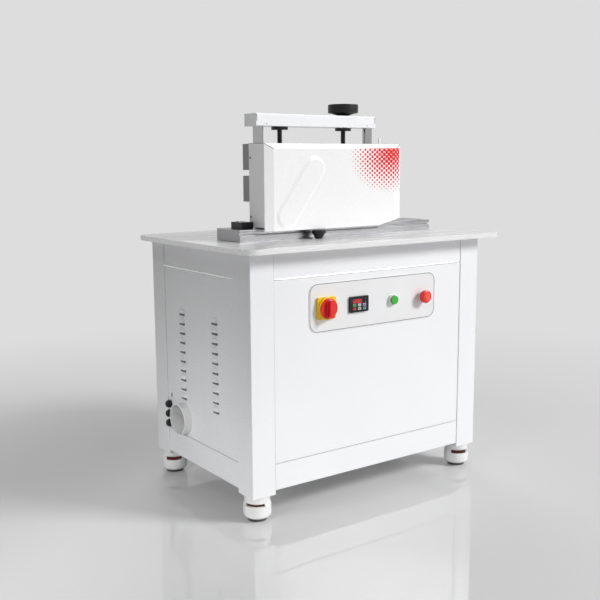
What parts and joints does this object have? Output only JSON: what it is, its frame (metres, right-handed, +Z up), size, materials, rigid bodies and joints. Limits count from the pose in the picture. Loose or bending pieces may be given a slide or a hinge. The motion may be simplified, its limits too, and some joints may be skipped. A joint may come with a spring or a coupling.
{
  "type": "acrylic edge polishing machine",
  "caption": "Floor-standing cabinet machine with a flat table, a height-adjustable feed head on two columns and front controls.",
  "frame": {"origin": "centre of the table plate's outline, on the floor", "axes": "+Z up, -Y towards the operator and the control panel, +X to the right seen from the front"},
  "size_m": [1, 0.68, 1.2102],
  "materials": {
    "white_paint": "gloss powder coat",
    "table_metal": "fine ground",
    "plate_grey": "satin",
    "steel": "machined",
    "rail_metal": "machined",
    "chrome": "polished",
    "black_oxide": "black oxide",
    "black_plastic": "moulded",
    "yellow_plastic": "moulded",
    "red_plastic": "moulded",
    "green_plastic": "moulded",
    "white_plastic": "moulded",
    "lilac_plastic": "moulded",
    "teal_plastic": "moulded",
    "wheel_plastic": "textured",
    "foot_base": "moulded",
    "hose_grey": "moulded",
    "belt_rubber": "smooth",
    "motor_paint": "enamel",
    "unit_grey": "moulded",
    "bronze": "machined",
    "cutter_metal": "ground",
    "housing_grey": "enamel"
  },
  "bodies": {
    "cabinet": {"machine_frame": "white_paint", "front_panel": "white_paint", "left_panel": "white_paint", "right_panel": "white_paint", "rear_panel": "white_paint", "bottom_tray": "white_paint", "table_top": "table_metal", "control_plate": "plate_grey", "switch_base": "yellow_plastic", "meter_body": "black_plastic", "start_bezel": "white_plastic", "stop_collar": "white_plastic", "electrical_plate": "steel", "electrical_units": "unit_grey", "dust_port": "white_plastic", "duct_hose": "hose_grey", "cutter_hood": "housing_grey", "cable_glands": "black_plastic", "foot_housings": "white_plastic", "foot_pads": "foot_base", "outfeed_rail": "rail_metal", "guide_columns": "chrome", "column_flanges": "steel", "top_beam": "white_paint", "screw_bearings": "black_oxide", "lift_chain": "steel", "spindle_motor": "motor_paint", "motor_bracket": "steel", "socket_screws": "black_oxide"},
    "switch_knob": {"switch_knob": "red_plastic"},
    "start_button": {"start_cap": "green_plastic"},
    "stop_plunger": {"stop_stem": "black_plastic"},
    "stop_button": {"stop_mushroom": "red_plastic"},
    "infeed_table": {"infeed_rail": "rail_metal", "rail_yoke": "steel", "edge_block": "black_oxide"},
    "rail_adjuster": {"rail_knob": "wheel_plastic"},
    "lift_screw_right": {"right_screw": "black_oxide", "handwheel": "wheel_plastic"},
    "lift_screw_left": {"left_screw": "black_oxide"},
    "head": {"head_cover": "white_paint", "head_plate": "housing_grey", "bearing_blocks": "housing_grey", "lift_nuts": "bronze", "feed_gearmotor": "housing_grey", "roller_frame": "steel", "feed_belt": "belt_rubber"},
    "drive_roller": {"drive_roller": "steel"},
    "idler_roller": {"idler_roller": "steel"},
    "cutter": {"cutter_disc": "cutter_metal"},
    "key_1": {"meter_key_1": "green_plastic"},
    "key_2": {"meter_key_2": "white_plastic"},
    "key_3": {"meter_key_3": "lilac_plastic"},
    "key_4": {"meter_key_4": "red_plastic"},
    "key_5": {"meter_key_5": "white_plastic"},
    "key_6": {"meter_key_6": "teal_plastic"},
    "foot_wheel_fl": {"thumbwheel_fl": "red_plastic"},
    "foot_wheel_fr": {"thumbwheel_fr": "red_plastic"},
    "foot_wheel_rl": {"thumbwheel_rl": "red_plastic"},
    "foot_wheel_rr": {"thumbwheel_rr": "red_plastic"}
  },
  "joints": [
    {"name": "main_switch_turn", "type": "hinge", "parent": "cabinet", "child": "switch_knob", "pos_m": [-0.198, -0.3015, 0.606], "axis": [0, -1, 0], "range_deg": [0, 90]},
    {"name": "start_button_press", "type": "slide", "parent": "cabinet", "child": "start_button", "axis": [0, 1, 0], "range_m": [0, 0.003], "stiffness_N_per_m": 900},
    {"name": "stop_button_press", "type": "slide", "parent": "cabinet", "child": "stop_plunger", "axis": [0, 1, 0], "range_m": [0, 0.004], "stiffness_N_per_m": 1200},
    {"name": "stop_button_twist", "type": "hinge", "parent": "stop_plunger", "child": "stop_button", "pos_m": [0.184, -0.3075, 0.606], "axis": [0, -1, 0], "range_deg": [-40, 0], "stiffness_Nm_per_rad": 0.4},
    {"name": "head_lift", "type": "slide", "parent": "cabinet", "child": "head", "axis": [0, 0, 1], "range_m": [0, 0.038]},
    {"name": "handwheel_turn", "type": "hinge", "parent": "cabinet", "child": "lift_screw_right", "pos_m": [0.0745, -0.025, 1.15], "axis": [0, 0, 1], "range_deg": [0, 3420]},
    {"name": "left_screw_turn", "type": "hinge", "parent": "cabinet", "child": "lift_screw_left", "pos_m": [-0.1745, -0.025, 1.15], "axis": [0, 0, 1], "range_deg": [0, 3420]},
    {"name": "infeed_lift", "type": "slide", "parent": "cabinet", "child": "infeed_table", "axis": [0, 0, 1], "range_m": [0, 0.003]},
    {"name": "rail_knob_turn", "type": "hinge", "parent": "cabinet", "child": "rail_adjuster", "pos_m": [-0.123, -0.157, 0.81], "axis": [0, 0, 1], "range_deg": [0, 720]},
    {"name": "drive_roller_spin", "type": "hinge", "parent": "head", "child": "drive_roller", "pos_m": [0.102, -0.1, 0.8704], "axis": [0, 1, 0], "continuous": true},
    {"name": "idler_roller_spin", "type": "hinge", "parent": "head", "child": "idler_roller", "pos_m": [-0.258, -0.1, 0.8704], "axis": [0, 1, 0], "continuous": true},
    {"name": "cutter_spin", "type": "hinge", "parent": "cabinet", "child": "cutter", "pos_m": [0.062, -0.075, 0.82], "axis": [0, 0, 1], "continuous": true},
    {"name": "key_1_press", "type": "slide", "parent": "cabinet", "child": "key_1", "axis": [0, 1, 0], "range_m": [0, 0.0005], "stiffness_N_per_m": 800},
    {"name": "key_2_press", "type": "slide", "parent": "cabinet", "child": "key_2", "axis": [0, 1, 0], "range_m": [0, 0.0005], "stiffness_N_per_m": 800},
    {"name": "key_3_press", "type": "slide", "parent": "cabinet", "child": "key_3", "axis": [0, 1, 0], "range_m": [0, 0.0005], "stiffness_N_per_m": 800},
    {"name": "key_4_press", "type": "slide", "parent": "cabinet", "child": "key_4", "axis": [0, 1, 0], "range_m": [0, 0.0005], "stiffness_N_per_m": 800},
    {"name": "key_5_press", "type": "slide", "parent": "cabinet", "child": "key_5", "axis": [0, 1, 0], "range_m": [0, 0.0005], "stiffness_N_per_m": 800},
    {"name": "key_6_press", "type": "slide", "parent": "cabinet", "child": "key_6", "axis": [0, 1, 0], "range_m": [0, 0.0005], "stiffness_N_per_m": 800},
    {"name": "foot_wheel_fl_turn", "type": "hinge", "parent": "cabinet", "child": "foot_wheel_fl", "pos_m": [-0.418, -0.25, 0.052], "axis": [0, 0, 1], "continuous": true},
    {"name": "foot_wheel_fr_turn", "type": "hinge", "parent": "cabinet", "child": "foot_wheel_fr", "pos_m": [0.394, -0.25, 0.052], "axis": [0, 0, 1], "continuous": true},
    {"name": "foot_wheel_rl_turn", "type": "hinge", "parent": "cabinet", "child": "foot_wheel_rl", "pos_m": [-0.418, 0.266, 0.052], "axis": [0, 0, 1], "continuous": true},
    {"name": "foot_wheel_rr_turn", "type": "hinge", "parent": "cabinet", "child": "foot_wheel_rr", "pos_m": [0.394, 0.266, 0.052], "axis": [0, 0, 1], "continuous": true}
  ],
  "couplings": [
    {"joint": "handwheel_turn", "follows": "head_lift", "rad_per_m": 1570.6},
    {"joint": "left_screw_turn", "follows": "head_lift", "rad_per_m": 1570.6},
    {"joint": "rail_knob_turn", "follows": "infeed_lift", "rad_per_m": 4188.4},
    {"joint": "idler_roller_spin", "follows": "drive_roller_spin", "ratio": 1}
  ]
}
